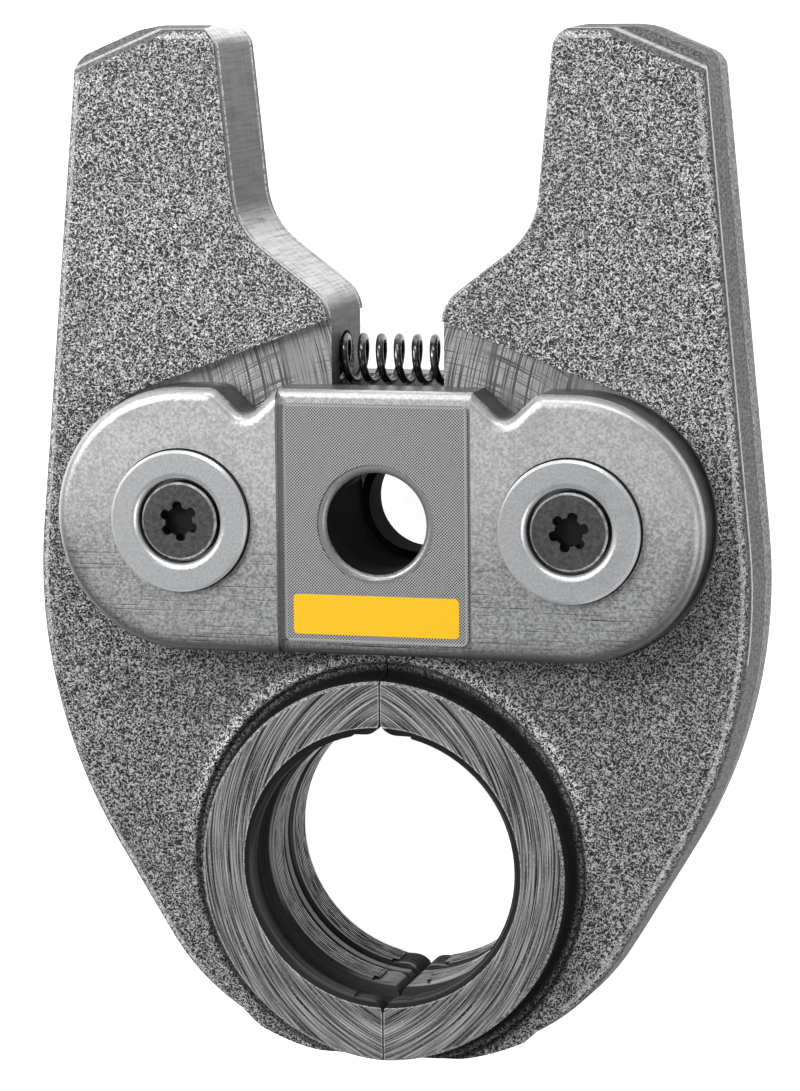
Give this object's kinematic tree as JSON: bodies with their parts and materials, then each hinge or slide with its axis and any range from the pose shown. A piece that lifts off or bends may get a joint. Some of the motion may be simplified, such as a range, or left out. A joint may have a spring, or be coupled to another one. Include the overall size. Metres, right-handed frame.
{
  "type": "press fitting tool jaw",
  "caption": "Forged steel pressing jaw: two levers on pivot pins between link plates close a split ring with a ridged contour, and a spring parts the arms.",
  "frame": {"origin": "centre of the retaining pin's bore, midway between the two link plates", "axes": "+X towards the right pivot, +Y along the arms away from the pressing ring, +Z along the retaining bore out of the labelled plate"},
  "size_m": [0.1034, 0.1451, 0.0346],
  "materials": {
    "forged_steel": "blasted forging skin with machined faces",
    "plate_steel": "tumbled satin",
    "collar_steel": "satin",
    "black_oxide": "black oxide",
    "label_foil": "printed metal foil",
    "spring_wire": "oiled dark wire"
  },
  "bodies": {
    "links": {"front_plate": "plate_steel", "back_plate": "plate_steel", "left_pivot_pin": "collar_steel", "right_pivot_pin": "collar_steel", "left_collar": "collar_steel", "right_collar": "collar_steel", "left_screw": "black_oxide", "right_screw": "black_oxide", "front_label": "label_foil", "closing_spring": "spring_wire"},
    "left_jaw": {"left_jaw": "forged_steel"},
    "right_jaw": {"right_jaw": "forged_steel"}
  },
  "joints": [
    {"name": "left_jaw_pivot", "type": "hinge", "parent": "links", "child": "left_jaw", "pos_m": [-0.0278, 0, 0], "axis": [0, 0, -1], "range_deg": [0, 15], "stiffness_Nm_per_rad": 3.1, "springref_deg": -10.89, "deforming": ["closing_spring"]},
    {"name": "right_jaw_pivot", "type": "hinge", "parent": "links", "child": "right_jaw", "pos_m": [0.0278, 0, 0], "axis": [0, 0, 1], "range_deg": [0, 15], "stiffness_Nm_per_rad": 3.1, "springref_deg": -10.89, "deforming": ["closing_spring"]}
  ]
}
